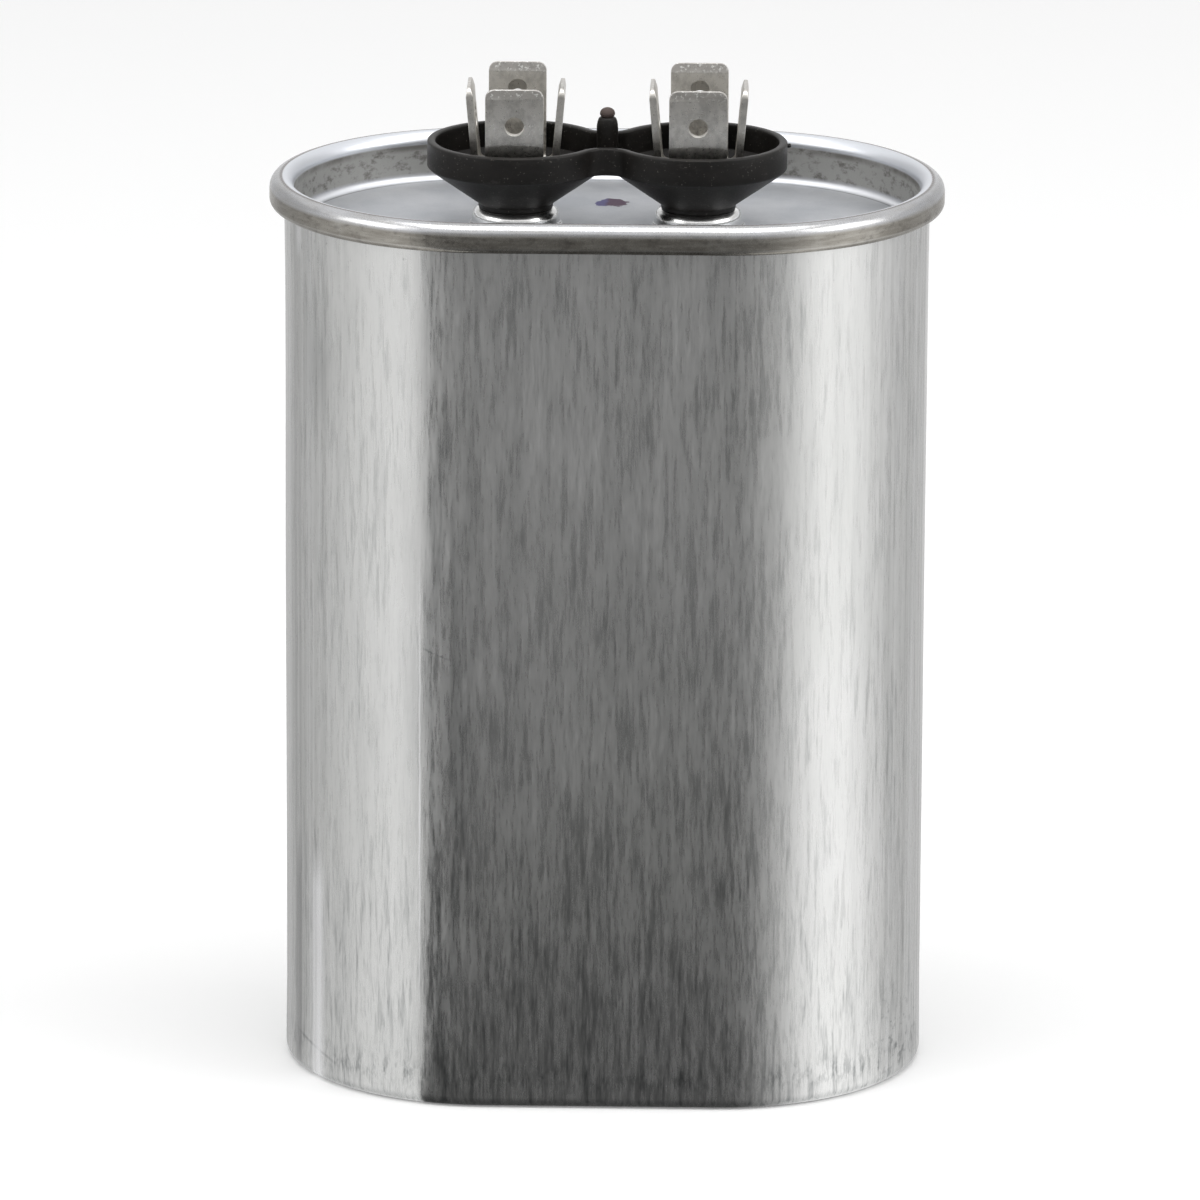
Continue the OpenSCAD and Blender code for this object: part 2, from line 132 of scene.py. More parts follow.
def strip_section(path, thickness):
    """Closed section of a bent sheet: its middle line moved half a thickness to each side."""
    sides = ([], [])
    for i, point in enumerate(path):
        before = Vector(path[max(i - 1, 0)])
        after = Vector(path[min(i + 1, len(path) - 1)])
        along = (after - before).normalized()
        across = Vector((-along.y, along.x)) * thickness / 2
        sides[0].append(tuple(Vector(point) + across))
        sides[1].append(tuple(Vector(point) - across))
    return sides[0] + sides[1][::-1]


def oval_columns(flat_steps, end_steps):
    """Places round the oval: the centre's shift along X and the direction out."""
    columns = []
    for side in (1, -1):
        for i in range(end_steps):
            angle = math.radians(-90 + 180 * i / end_steps)
            columns.append((side * HALF_FLAT, side * math.cos(angle), side * math.sin(angle)))
        for i in range(flat_steps):
            shift = side * HALF_FLAT * (1 - 2 * i / flat_steps)
            columns.append((shift, 0.0, float(side)))
    return columns


def circle_columns(centre_x, steps):
    """Places round a circle, as oval_columns gives them."""
    turns = [2 * math.pi * i / steps for i in range(steps)]
    return [(centre_x, math.cos(turn), math.sin(turn)) for turn in turns]


def sweep(section, columns, wave=None):
    """A closed section carried round closed columns: vertices and faces."""
    rows = len(section)
    vertices = []
    for shift, x, y in columns:
        for radius, height in section:
            point = Vector((shift + radius * x, radius * y, height))
            if wave:
                point -= wave(point) * Vector((x, y, 0))
            vertices.append(point)
    faces = []
    for column in range(len(columns)):
        here = column * rows
        there = (column + 1) % len(columns) * rows
        for row in range(rows):
            up = (row + 1) % rows
            faces.append((here + row, there + row, there + up, here + up))
    return vertices, faces


def joined(*parts):
    vertices, faces = [], []
    for more_vertices, more_faces in parts:
        start = len(vertices)
        vertices += more_vertices
        faces += [tuple(start + i for i in face) for face in more_faces]
    return vertices, faces


def filled(loops, height):
    """A flat face at one height between closed loops of points, as triangles."""
    work = bmesh.new()
    edges = []
    for loop in loops:
        corners = [work.verts.new((x, y, height)) for x, y in loop]
        edges += [work.edges.new((corners[i - 1], corners[i])) for i in range(len(corners))]
    bmesh.ops.triangle_fill(work, use_beauty=True, edges=edges, normal=(0, 0, 1))
    work.verts.index_update()
    vertices = [v.co.copy() for v in work.verts]
    faces = [tuple(v.index for v in face.verts) for face in work.faces]
    work.free()
    return vertices, faces


def can_wave(point):
    """How far the drawn wall lies inside its true form: slow waves and a few shallow dents."""
    height = point.z / TOP
    fade = min(1, max(0, height * 12)) * min(1, max(0, (0.965 - height) * 14))
    slow = noise.noise(point * 38 + Vector((4, 1, 7)))
    mid = noise.noise(Vector((point.x * 110, point.y * 110, point.z * 45)) + Vector((2, 9, 3)))
    return fade * MM * (0.075 + 0.05 * slow + 0.016 * mid)


def make_can():
    floor = 0.8 * MM
    wall_top = TOP - SEAM_HEIGHT * 0.55
    inner = BODY_RADIUS - SHEET
    section = [(0, 0)]
    section += line((0, 0), (BODY_RADIUS - BASE_BEND, 0), 6)
    section += arc((BODY_RADIUS - BASE_BEND, BASE_BEND), BASE_BEND, -82, 0, 9)
    section += line((BODY_RADIUS, BASE_BEND), (BODY_RADIUS, wall_top), 110)
    section += line((BODY_RADIUS, wall_top), (inner, wall_top), 1)
    section += line((inner, wall_top), (inner, floor + BASE_BEND), 110)
    section += arc((inner - BASE_BEND, floor + BASE_BEND), BASE_BEND, 0, -90, 6)
    section += line((inner - BASE_BEND, floor), (0, floor), 6)
    vertices, faces = sweep(section, oval_columns(36, 60), can_wave)
    can = add_piece("drawn_can", vertices, faces)
    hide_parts("can")
    return can


def lid_path():
    """Middle line of the lid sheet: panel edge, wall, rolled top, outer wall and hook."""
    half = SHEET / 2
    outer = CAD_BOX[1][1] - half
    wall = BODY_RADIUS - SHEET - FOLD_GAP - half
    roll = (outer - wall) / 2
    roll_centre = ((outer + wall) / 2, TOP - half - roll)
    hook = 0.5 * (SHEET + FOLD_GAP) + half
    hook_centre = (outer - hook, TOP - SEAM_HEIGHT + half + hook)
    panel_centre = (wall - PANEL_BEND - half, PANEL_TOP + PANEL_BEND)
    path = arc(panel_centre, PANEL_BEND + half, -90, 0, 8)
    path += line(path[-1], (wall, roll_centre[1]), 6)
    path += arc(roll_centre, roll, 180, 0, 20)[1:]
    path += line(path[-1], (outer, hook_centre[1]), 6)
    path += arc(hook_centre, hook, 0, -180, 14)[1:]
    path += line(path[-1], (path[-1][0], TOP - SEAM_HEIGHT / 2), 2)
    return path


def boss_path():
    half = SHEET / 2
    crown = BOSS_TOP - SHEET - BOSS_BEND
    foot = PANEL_TOP + BOSS_BEND
    path = [(HOLE_RADIUS, BOSS_TOP - half)]
    path += arc((BOSS_FLAT, crown), BOSS_BEND + half, 90, 0, 8)
    path += arc((BOSS_RADIUS + BOSS_BEND, foot), BOSS_BEND + half, 180, 270, 8)
    return path


def make_lid():
    columns = oval_columns(36, 60)
    edge = strip_section(lid_path(), SHEET)
    parts = [sweep(edge, columns)]
    boss = strip_section(boss_path(), SHEET)
    rings = []
    for side in (-1, 1):
        ring = circle_columns(side * TERMINAL_X, 64)
        parts.append(sweep(boss, ring))
        rings.append([(x + (BOSS_RADIUS + BOSS_BEND) * c, (BOSS_RADIUS + BOSS_BEND) * s)
                      for x, c, s in ring])
    turn = lid_path()[0][0]
    rim = [(x + turn * c, turn * s) for x, c, s in columns]
    for height in (PANEL_TOP, PANEL_TOP - SHEET):
        parts.append(filled([rim] + rings, height))
    vertices, faces = joined(*parts)
    lid = add_piece("lid_pressing", vertices, faces)
    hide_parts("lid")
    return lid


# The moulded insulator's sizes in millimetres, for its fine mesh.
CUP = {"radius": 9.7, "wall": 0.9, "waist": 4.4, "foot": 4.1, "cone_bottom": 2.4, "skirt": 3.0,
       "cone_wall": 0.7, "platform": 4.5, "hole": 1.65, "spigot": 2.35}


def waist_points(radius, waist, steps):
    """A quarter of the waisted outline round a cup, from the middle of the waist outward: the
    hollow's points and then the circle's, as (x, y) in metres."""
    spacing = TERMINAL_X
    hollow = (spacing ** 2 + waist ** 2 - radius ** 2) / (2 * (radius - waist))
    touch = math.atan2(waist + hollow, spacing)
    points = []
    for i in range(steps):
        angle = -math.pi / 2 + (math.pi / 2 - touch) * i / steps
        points.append((hollow * math.cos(angle), waist + hollow + hollow * math.sin(angle)))
    for i in range(4 * steps):
        angle = math.pi - touch - (math.pi - touch) * i / (4 * steps)
        points.append((spacing + radius * math.cos(angle), radius * math.sin(angle)))
    points.append((spacing + radius, 0.0))
    return points


def waisted_loop(radius, waist, steps=18):
    """The whole outline round both cups, counter-clockwise from the right end."""
    quarter = waist_points(radius, waist, steps)
    front = [(x, -y) for x, y in quarter]
    right = front[:-1] + quarter[::-1]
    return right[:-1] + [(-x, -y) for x, y in right][:-1]


def lofted(section, outer, inner):
    """An open section of (share from outer to inner, height) carried round two loops."""
    rows, count = len(section), len(outer)
    vertices = []
    for (ax, ay), (bx, by) in zip(outer, inner):
        for share, height in section:
            vertices.append((ax + (bx - ax) * share, ay + (by - ay) * share, height))
    faces = []
    for column in range(count):
        here, there = column * rows, (column + 1) % count * rows
        for row in range(rows - 1):
            faces.append((here + row, there + row, there + row + 1, here + row + 1))
    return vertices, faces


def lathe(profile, centre_x, steps=96):
    """An open profile of (radius, height) turned about a vertical axis."""
    vertices, faces = [], []
    for i in range(steps):
        turn = 2 * math.pi * i / steps
        vertices += [(centre_x + r * math.cos(turn), r * math.sin(turn), z) for r, z in profile]
    rows = len(profile)
    for column in range(steps):
        here, there = column * rows, (column + 1) % steps * rows
        for row in range(rows - 1):
            faces.append((here + row, there + row, there + row + 1, here + row + 1))
    return vertices, faces


def waist_fill(radius, waist, height):
    """The flat face between the two cups at one height."""
    steps = 18
    loop = waisted_loop(radius, waist, steps)
    quarter = waist_points(radius, waist, steps)
    touch_x, touch_y = quarter[steps]
    corner = math.atan2(touch_y, touch_x - TERMINAL_X)
    turns = [corner + (2 * (math.pi - corner)) * i / 24 for i in range(25)]
    right = [(TERMINAL_X + radius * math.cos(t), radius * math.sin(t)) for t in turns]
    hollow = quarter[1:steps]
    front = [(x, -y) for x, y in hollow]
    path = right[::-1] + [(x, y) for x, y in hollow[::-1]]
    path = right + front[::-1] + [(0.0, -waist)] + [(-x, y) for x, y in front]
    path += [(-x, y) for x, y in right[::-1]]
    path += [(-x, y) for x, y in hollow[::-1]] + [(0.0, waist)] + hollow
    return filled([path], height)


def pin_profile(base):
    rim = BOSS_TOP + 7.5 * MM
    radius, nub, neck = 1.18 * MM, 0.83 * MM, 0.66 * MM
    shoulder = rim + 1.2 * MM
    profile = [(radius, base), (radius, shoulder)]
    profile += [(neck + (radius - neck) * math.cos(a) ** 0.8, shoulder + 1.4 * MM * math.sin(a))
                for a in [math.pi / 2 * i / 10 for i in range(1, 10)]]
    top = shoulder + 1.4 * MM
    profile += [(neck, top), (nub * 0.97, top + 0.22 * MM)]
    profile += [(nub * math.cos(a), top + (0.38 + 0.67 * math.sin(a)) * MM)
                for a in [math.pi / 2 * i / 10 for i in range(10)]]
    profile.append((0.0, top + 1.05 * MM))
    return profile


def make_insulator():
    size = {key: value * MM for key, value in CUP.items()}
    rim = BOSS_TOP + 7.5 * MM
    skirt = rim - size["skirt"]
    cone = BOSS_TOP + 0.5 * MM
    slope = (skirt - cone) / (size["radius"] - size["foot"])
    inner_radius = size["radius"] - size["wall"]
    floor = cone + size["cone_wall"] * math.sqrt(1 + slope ** 2)
    high = floor + (inner_radius - size["foot"]) * slope
    bridge = skirt + size["wall"]
    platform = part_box("left_blade_strip")[0].z
    outer = waisted_loop(size["radius"], size["waist"])
    inner = waisted_loop(inner_radius, size["waist"] - size["wall"])
    soft = 0.08 * MM
    section = [(0.09, skirt), (0.02, skirt + soft), (0.0, skirt + 2.2 * soft)]
    section += line((0.0, skirt + 2.2 * soft), (0.0, rim - 0.22 * MM), 4)
    section += [(0.03, rim - 0.12 * MM), (0.1, rim - 0.05 * MM), (0.22, rim), (0.78, rim),
                (0.9, rim - 0.05 * MM), (0.97, rim - 0.12 * MM), (1.0, rim - 0.22 * MM)]
    section += line((1.0, rim - 0.22 * MM), (1.0, bridge), 4)
    parts = [lofted(section, outer, inner)]
    under = size["radius"] - 0.09 * size["wall"]
    parts.append(waist_fill(under, size["waist"] - 0.09 * size["wall"], skirt))
    parts.append(waist_fill(inner_radius, size["waist"] - size["wall"], bridge))
    foot = size["foot"]
    lower = BOSS_TOP
    for side in (-1, 1):
        edge = size["radius"] - 0.28 * MM
        outside = [(under, skirt), (edge, cone + (edge - foot) * slope), (foot + 0.1 * MM,
                   cone + 0.1 * MM * slope), (foot, cone - 0.05 * MM), (foot, lower + 0.1 * MM),
                   (foot - 0.1 * MM, lower), (size["spigot"], lower), (size["spigot"],
                   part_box("terminal_insulator")[0].z), (size["hole"],
                   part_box("terminal_insulator")[0].z), (size["hole"], platform)]
        step = size["platform"]
        ledge = floor + (step - foot) * slope
        inside = [(size["hole"], platform), (step - 0.1 * MM, platform),
                  (step, platform - 0.1 * MM), (step, ledge), (inner_radius, high),
                  (inner_radius, bridge)]
        parts.append(lathe(outside, side * TERMINAL_X))
        parts.append(lathe(inside, side * TERMINAL_X))
    parts.append(lathe(pin_profile(bridge), 0.0, 40))
    parts.append(flash_nib(rim))
    vertices, faces = joined(*parts)
    cups = add_piece("cup_moulding", vertices, faces, 32)
    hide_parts("terminal_insulator")
    return cups


def flash_nib(rim):
    """The torn bit of flash that the moulding keeps at its right end."""
    centre = Vector((TERMINAL_X + 9.82 * MM, 0.4 * MM, rim - 0.55 * MM))
    work = bmesh.new()
    bmesh.ops.create_icosphere(work, subdivisions=2, radius=0.24 * MM)
    for vertex in work.verts:
        rough = 1 + 0.35 * noise.noise(vertex.co * 6000)
        vertex.co = centre + Vector((vertex.co.x * 1.5, vertex.co.y * 1.2, vertex.co.z)) * rough
    work.verts.index_update()
    vertices = [v.co.copy() for v in work.verts]
    faces = [tuple(v.index for v in face.verts) for face in work.faces]
    work.free()
    return vertices, faces


def rounded(node, name, width, segments=2):
    """A CAD node's form with its flat faces merged and its edges rounded."""
    work = bmesh.new()
    source = NODES[node].data
    points = [work.verts.new(v.co) for v in source.vertices]
    for face in source.polygons:
        work.faces.new([points[i] for i in face.vertices])
    bmesh.ops.remove_doubles(work, verts=work.verts, dist=2e-7)
    bmesh.ops.dissolve_limit(work, angle_limit=math.radians(0.4), verts=work.verts,
                             edges=work.edges, use_dissolve_boundaries=False)
    mesh = bpy.data.meshes.new(name)
    work.to_mesh(mesh)
    work.free()
    piece = bpy.data.objects.new(name, mesh)
    bpy.context.scene.collection.objects.link(piece)
    mesh.shade_smooth()
    bevel = piece.modifiers.new("rounded edges", "BEVEL")
    bevel.width = width
    bevel.segments = segments
    bevel.limit_method = "ANGLE"
    bevel.angle_limit = math.radians(35)
    bevel.miter_outer = "MITER_ARC"
    bevel.harden_normals = False
    normals = piece.modifiers.new("face normals", "WEIGHTED_NORMAL")
    normals.keep_sharp = False
    normals.weight = 80
    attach(piece, "root")
    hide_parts(node)
    return piece


# ---------------------------------------------------------------- materials

class Finish:
    """A node material with a Principled shader, built from object coordinates."""

    def __init__(self, name, **sockets):
        self.material = bpy.data.materials.new(name)
        self.material.use_nodes = True
        self.tree = self.material.node_tree
        self.shader = self.tree.nodes["Principled BSDF"]
        self.place = self.tree.nodes.new("ShaderNodeTexCoord").outputs["Object"]
        for socket, value in sockets.items():
            self.shader.inputs[socket.replace("_", " ")].default_value = value

    def link(self, source, target):
        self.tree.links.new(source, target)

    def node(self, kind, inputs=(), **settings):
        node = self.tree.nodes.new(kind)
        for key, value in settings.items():
            setattr(node, key, value)
        for key, value in dict(inputs).items():
            if isinstance(value, bpy.types.NodeSocket):
                self.link(value, node.inputs[key])
            else:
                node.inputs[key].default_value = value
        return node

    def noise(self, scale, stretch=(1, 1, 1), detail=2, rough=0.5, shift=(0, 0, 0)):
        """Noise from 0 to 1. The scale is in features for each metre."""
        mapping = self.node("ShaderNodeMapping", {"Vector": self.place, "Scale": stretch,
                                                  "Location": shift})
        return self.node("ShaderNodeTexNoise", {
            "Vector": mapping.outputs[0], "Scale": scale, "Detail": detail,
            "Roughness": rough}).outputs[0]

    def math(self, operation, a, b=0.5, clamp=False):
        return self.node("ShaderNodeMath", {0: a, 1: b}, operation=operation,
                         use_clamp=clamp).outputs[0]

    def span(self, value, low, high, start=0.0, end=1.0):
        """A value's range from low to high mapped to start to end, and clamped."""
        return self.node("ShaderNodeMapRange", {
            "Value": value, "From Min": low, "From Max": high, "To Min": start,
            "To Max": end}).outputs[0]

    def blend(self, factor, a, b, kind="MIX"):
        mix = self.node("ShaderNodeMix", data_type="RGBA", blend_type=kind)
        for index, value in ((0, factor), (6, a), (7, b)):
            if isinstance(value, bpy.types.NodeSocket):
                self.link(value, mix.inputs[index])
            elif index == 0:
                mix.inputs[index].default_value = value
            else:
                mix.inputs[index].default_value = (*value, 1)
        return mix.outputs[2]

    def axes(self):
        """X, Y and Z in millimetres."""
        scaled = self.node("ShaderNodeMapping", {"Vector": self.place,
                                                 "Scale": (1000, 1000, 1000)})
        parts = self.node("ShaderNodeSeparateXYZ", {0: scaled.outputs[0]})
        return parts.outputs[0], parts.outputs[1], parts.outputs[2]

    def bell(self, value, centre, width):
        """1 at the centre, falling smoothly to 0 at a width to each side."""
        away = self.math("ABSOLUTE", self.math("SUBTRACT", value, centre))
        return self.node("ShaderNodeMapRange", {
            "Value": away, "From Min": 0.0, "From Max": width, "To Min": 1.0, "To Max": 0.0},
            interpolation_type="SMOOTHSTEP").outputs[0]

    def product(self, *values):
        total = values[0]
        for value in values[1:]:
            total = self.math("MULTIPLY", total, value)
        return total

    def total(self, *values):
        result = values[0]
        for value in values[1:]:
            result = self.math("ADD", result, value)
        return result

    def bump(self, height, distance, before=None):
        inputs = {"Height": height, "Distance": distance, "Strength": 1.0}
        if before:
            inputs["Normal"] = before
        return self.node("ShaderNodeBump", inputs).outputs[0]

    def finish(self, colour=None, roughness=None, normal=None):
        for value, socket in ((colour, "Base Color"), (roughness, "Roughness"),
                              (normal, "Normal")):
            if value is not None:
                self.link(value, self.shader.inputs[socket])
        return self.material


def drawn_aluminium():
    """Bare drawn aluminium: vertical drawing marks make it rougher in short dashes, so they show
    where the surroundings are dark, and handling has left smudges, rubs and a few scratches.
    On the front, painted highlights draw a thin bright line and two bright streaks, painted
    shade draws a dark line beside one of them and a slanted crease, and a band of painted
    shade runs along the bottom edge."""
    metal = Finish("drawn_aluminium", Metallic=1.0, Anisotropic=0.5, Anisotropic_Rotation=0.25)
    x, y, z = metal.axes()
    front = metal.span(y, -3, 3, 1, 0)
    low = metal.span(z, 2, 48, 1, 0)
    fine = metal.noise(4300, (1, 1, 0.11), 3, 0.65)
    medium = metal.noise(1700, (1, 1, 0.09), 3, 0.6, (3, 1, 2))
    bands = metal.noise(520, (1, 1, 0.05), 3, 0.6, (2, 6, 1))
    cloud = metal.noise(90, (1, 1, 0.7), 4, 0.6, (1, 5, 2))
    broad = metal.noise(30, (1, 1, 0.8), 3, 0.5, (7, 3, 1))
    clean = metal.span(cloud, 0.4, 0.62)
    dashes = metal.span(medium, 0.50, 0.66)
    sharp = metal.span(fine, 0.50, 0.68)
    lines = metal.noise(900, (1, 1, 0.004), 3, 0.6, (5, 2, 9))
    ends = metal.span(metal.math("ABSOLUTE", x), 27, 34)

    roughness = metal.total(
        metal.span(medium, 0.32, 0.68, 0.34, 0.20), metal.span(fine, 0.35, 0.68, 0.05, -0.05),
        metal.span(clean, 0, 1, -0.02, 0.05), metal.span(low, 0, 1, 0.02, -0.05))
    edge_marks = metal.product(metal.bell(x, -17.2, 4.5), front)
    dark = metal.total(
        metal.product(dashes, metal.span(clean, 0, 1, 0.28, 0.10)),
        metal.product(sharp, metal.span(low, 0, 1, 0.10, 0.26)),
        metal.product(dashes, low, 0.16),
        metal.product(metal.span(bands, 0.48, 0.62), edge_marks, 0.28),
        metal.product(metal.span(bands, 0.46, 0.64), 0.10))
    smudge = metal.product(metal.bell(x, -31.2, 2.6), metal.bell(z, 82, 11),
                           metal.span(cloud, 0.3, 0.6, 0.5, 1.0), front)
    specks = metal.span(metal.noise(1500, (1, 1, 0.8), 2, 0.6, (8, 8, 1)), 0.66, 0.74)
    near_top = metal.product(specks, metal.bell(z, 95, 7), metal.span(x, -22, -18, 1, 0.5))
    dark = metal.total(dark, metal.product(smudge, 0.30), metal.product(near_top, 0.35))
    feet = metal.product(metal.span(metal.noise(1300, (1, 1, 0.35), 3, 0.7, (4, 4, 4)), 0.47, 0.62),
                         metal.bell(z, 3.4, 2.6), 0.45)
    dark = metal.total(dark, feet)
    scuffs = metal.product(metal.bell(z, 5, 9), metal.bell(x, 33, 5),
                           metal.span(metal.noise(800, (1, 1, 1), 3, 0.65, (1, 9, 3)), 0.56, 0.62))
    slant = metal.math("SUBTRACT", metal.math("MULTIPLY", x, -0.38), z)
    scratch = metal.product(metal.bell(slant, -44.7, 0.22), metal.bell(x, -18.0, 2.0), front,
                            metal.span(metal.noise(3000, (1, 1, 1), 2), 0.40, 0.5))
    # painted shade along a slanted crease line on the left end
    painted_crease_shade = metal.product(metal.bell(metal.math("ADD", metal.math("MULTIPLY", x, 0.42), z), -9.6,
                                      0.3), metal.bell(x, -31.5, 3.2), front)
    # painted shade: a darker band along the bottom edge of the can
    painted_bottom_shade = metal.product(metal.bell(z, 0.5, 0.9), 0.35)
    dark = metal.total(dark, metal.product(scuffs, 0.5), metal.product(scratch, 0.75),
                       metal.product(painted_crease_shade, 0.6), painted_bottom_shade)
    dark = metal.math("MINIMUM", dark, 0.85)

    tone = metal.span(broad, 0.3, 0.7)
    colour = metal.blend(tone, (0.585, 0.588, 0.575), (0.645, 0.645, 0.638))
    colour = metal.blend(dark, colour, (0.17, 0.18, 0.18))
    # painted highlights on the front: a thin bright vertical line and two bright streaks on the left
    # end; the round ends also get lighter vertical lines from noise
    painted_line_highlight = metal.product(metal.bell(metal.math("ADD", x, metal.span(metal.noise(
        300, (0, 0, 1), 2), 0, 1, -0.15, 0.15)), -19.75, 0.16), front, metal.bell(z, 36, 34))
    painted_streak_highlight = metal.product(metal.bell(x, -31.3, 1.2), metal.span(z, 27, 22), front)
    painted_gleam_highlight = metal.product(metal.bell(x, -33.4, 0.45), metal.span(z, 92.5, 95), front)
    light = metal.math("MINIMUM", metal.total(
        metal.product(painted_line_highlight, 0.8), metal.product(painted_streak_highlight, 0.75), metal.product(painted_gleam_highlight, 0.8),
        metal.product(metal.span(lines, 0.52, 0.62), ends, 0.25)), 1.0)
    colour = metal.blend(light, colour, (0.92, 0.92, 0.93))
    # painted shade: a dark line beside the low bright streak on the left end; the round ends also
    # get darker vertical lines from noise
    shade = metal.math("MINIMUM", metal.total(
        metal.product(metal.bell(x, -33.5, 0.55), metal.span(z, 29, 22), front, 0.55),
        metal.product(metal.span(lines, 0.5, 0.36), ends, 0.3)), 1.0)
    colour = metal.blend(shade, colour, (0.22, 0.22, 0.22))
    normal = metal.bump(medium, 7e-6, metal.bump(fine, 2.5e-6))
    return metal.finish(colour, metal.math("MAXIMUM", roughness, 0.14), normal)


def pressed_lid():
    """The lid sheet: satin panel with a painted highlight on its bend and a painted dark line
    inside it, a wall darker in patches and under the lip, a painted highlight on the lip and the
    bosses, and a brownish rolled seam with painted highlight lines and painted shade on its crest.
    """
    metal = Finish("pressed_lid", Metallic=1.0)
    x, y, z = metal.axes()
    flat = metal.math("MAXIMUM", metal.math("SUBTRACT", metal.math("ABSOLUTE", x),
                                            1000 * HALF_FLAT), 0.0)
    out = metal.math("SQRT", metal.math("ADD", metal.math("MULTIPLY", flat, flat),
                                        metal.math("MULTIPLY", y, y)))
    fine = metal.noise(3500, (1, 1, 1), 3, 0.6)
    cloud = metal.noise(160, (1, 1, 1), 4, 0.6, (3, 3, 3))
    grime = metal.noise(620, (1, 1, 1.6), 4, 0.68, (1, 2, 6))
    streaks = metal.noise(240, (1, 1, 9), 3, 0.6, (4, 4, 1))

    colour = metal.blend(metal.span(cloud, 0.35, 0.65), (0.44, 0.455, 0.48), (0.53, 0.54, 0.56))
    rough = metal.span(fine, 0.3, 0.7, 0.46, 0.56)
    # the pressed bend round the panel with a painted highlight, and a painted dark line inside it
    painted_bend_highlight = metal.bell(out, 21.25, 0.55)
    colour = metal.blend(metal.product(painted_bend_highlight, metal.span(z, 96, 95)), colour, (0.80, 0.81, 0.84))
    colour = metal.blend(metal.product(metal.bell(out, 20.62, 0.2), metal.span(z, 96, 95), 0.75),
                         colour, (0.16, 0.16, 0.17))
    # the wall: darker in patches, and in a patchy band near its top, under the lip
    wall = metal.product(metal.span(out, 21.1, 21.35), metal.span(z, 95.15, 95.5))
    wall_darkening = metal.math("MAXIMUM", metal.span(grime, 0.50, 0.66),
                      metal.product(metal.bell(z, 98.4, 0.7), metal.span(cloud, 0.35, 0.55)))
    side = metal.blend(metal.product(wall_darkening, 0.75), (0.44, 0.435, 0.415), (0.15, 0.14, 0.125))
    colour = metal.blend(wall, colour, side)
    # the lip inside the crest, with a painted highlight, and smoother
    lip = metal.product(metal.span(out, 21.3, 21.5), metal.span(z, 98.55, 98.75))
    colour = metal.blend(lip, colour, (0.70, 0.72, 0.76))
    rough = metal.math("SUBTRACT", rough, metal.product(lip, 0.14))
    # the rolled seam outside the crest: brownish, with grime and lighter clouds
    seam = metal.span(out, 22.72, 22.86)
    brown = metal.blend(metal.span(streaks, 0.38, 0.62), (0.33, 0.315, 0.285),
                        (0.24, 0.225, 0.20))
    brown = metal.blend(metal.product(metal.span(grime, 0.52, 0.68), 0.6), brown,
                        (0.12, 0.11, 0.10))
    brown = metal.blend(metal.product(metal.span(cloud, 0.55, 0.68), 0.5), brown,
                        (0.46, 0.45, 0.42))
    # painted highlights along the seam's shoulder and along its foot
    shoulder = metal.product(metal.span(z, 98.7, 99.1), metal.span(streaks, 0.3, 0.6, 0.6, 1.0))
    brown = metal.blend(metal.product(shoulder, 0.75), brown, (0.60, 0.61, 0.64))
    foot = metal.bell(z, 97.35, 0.18)
    brown = metal.blend(metal.product(foot, 0.4), brown, (0.55, 0.54, 0.52))
    # painted shade along the seam's crest
    crest = metal.product(metal.bell(out, 22.95, 0.34), metal.span(z, 99.5, 99.7))
    brown = metal.blend(metal.product(crest, 0.85), brown, (0.13, 0.115, 0.11))
    colour = metal.blend(seam, colour, brown)
    rough = metal.blend(seam, rough, metal.span(fine, 0.3, 0.7, 0.20, 0.30))
    # the bosses: a painted highlight makes them brighter than the panel, and they are smoother
    near = metal.math("SQRT", metal.math("ADD", metal.math("POWER", metal.math(
        "SUBTRACT", metal.math("ABSOLUTE", x), 1000 * TERMINAL_X), 2.0),
        metal.math("MULTIPLY", y, y)))
    boss = metal.product(metal.span(near, 5.6, 5.35), metal.span(z, 94.62, 94.75))
    colour = metal.blend(boss, colour, (0.86, 0.86, 0.85))
    rough = metal.blend(boss, rough, metal.span(fine, 0.3, 0.7, 0.16, 0.24))
    # the dab of marking ink
    wobble = metal.span(metal.noise(900, (1, 1, 1), 3, 0.6, (2, 2, 2)), 0.2, 0.8, -0.45, 0.45)
    across = metal.math("DIVIDE", metal.math("ADD", x, -0.3), 1.75)
    along = metal.math("DIVIDE", metal.math("SUBTRACT", metal.math("SUBTRACT", y, 9.6),
                       metal.product(metal.bell(x, 0.3, 1.6), 0.5)), 1.75)
    spread = metal.math("ADD", metal.math("SQRT", metal.math("ADD", metal.math(
        "MULTIPLY", across, across), metal.math("MULTIPLY", along, along))), wobble)
    dab = metal.product(metal.span(spread, 1.08, 0.94), metal.span(z, 94.8, 94.7))
    ink = metal.blend(metal.span(metal.math("ADD", x, wobble), -0.5, 0.1), (0.085, 0.075, 0.20),
                      (0.075, 0.030, 0.065))
    colour = metal.blend(metal.product(dab, 0.93), colour, ink)
    normal = metal.bump(fine, 2e-6, metal.bump(cloud, 2e-5))
    return metal.finish(colour, rough, normal)


